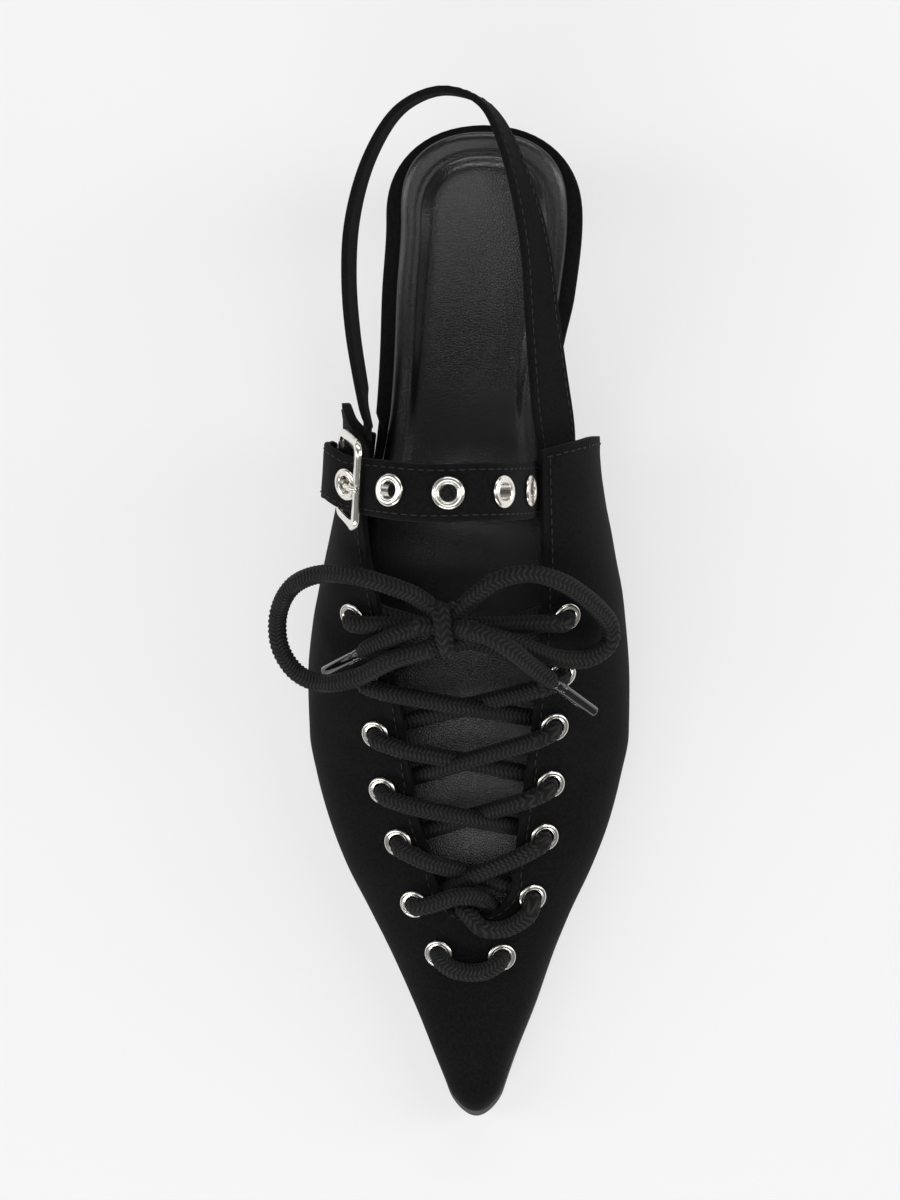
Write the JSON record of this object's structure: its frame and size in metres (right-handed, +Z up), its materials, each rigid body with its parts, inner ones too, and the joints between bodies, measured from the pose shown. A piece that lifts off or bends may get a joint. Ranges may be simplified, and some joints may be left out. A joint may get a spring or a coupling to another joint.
{
  "type": "lace up heel",
  "caption": "Pointed lace-up slingback with a kitten heel, a buckled instep strap and metal eyelets, wearer's right.",
  "frame": {"origin": "on the floor, at the middle of the shoe's outline without its bow", "axes": "+Z up, -Y towards the toe, +X towards the inner side of the foot"},
  "size_m": [0.0968, 0.2743, 0.1002],
  "materials": {
    "upper": "matte fine fabric",
    "insole": "glossy grained leather",
    "sole": "smooth, semi-gloss",
    "heel": "matte fabric cover",
    "tip": "matte",
    "lace": "braided, matte",
    "metal": "warm nickel, polished",
    "aglet": "glossy"
  },
  "bodies": {
    "root": {"aglet_inner": "aglet", "aglet_outer": "aglet", "buckle_frame": "metal", "buckle_keeper": "upper", "buckle_prong": "metal", "heel": "heel", "heel_tip": "tip", "insole": "insole", "insole_board": "upper", "instep_strap": "upper", "lace_bar": "lace", "lace_cross_1": "lace", "lace_cross_2": "lace", "lace_cross_3": "lace", "lace_cross_4": "lace", "lace_cross_5": "lace", "lace_cross_6": "lace", "lace_end_inner": "lace", "lace_end_outer": "lace", "lace_eyelet_inner_1": "metal", "lace_eyelet_inner_2": "metal", "lace_eyelet_inner_3": "metal", "lace_eyelet_inner_4": "metal", "lace_eyelet_inner_5": "metal", "lace_eyelet_inner_6": "metal", "lace_eyelet_inner_7": "metal", "lace_eyelet_outer_1": "metal", "lace_eyelet_outer_2": "metal", "lace_eyelet_outer_3": "metal", "lace_eyelet_outer_4": "metal", "lace_eyelet_outer_5": "metal", "lace_eyelet_outer_6": "metal", "lace_eyelet_outer_7": "metal", "lace_knot": "lace", "lace_lead_inner": "lace", "lace_lead_outer": "lace", "lace_loop_inner": "lace", "lace_loop_outer": "lace", "outsole": "sole", "sling": "upper", "strap_eyelet_1": "metal", "strap_eyelet_2": "metal", "strap_eyelet_3": "metal", "strap_eyelet_4": "metal", "strap_eyelet_5": "metal", "upper": "upper"}
  },
  "joints": []
}
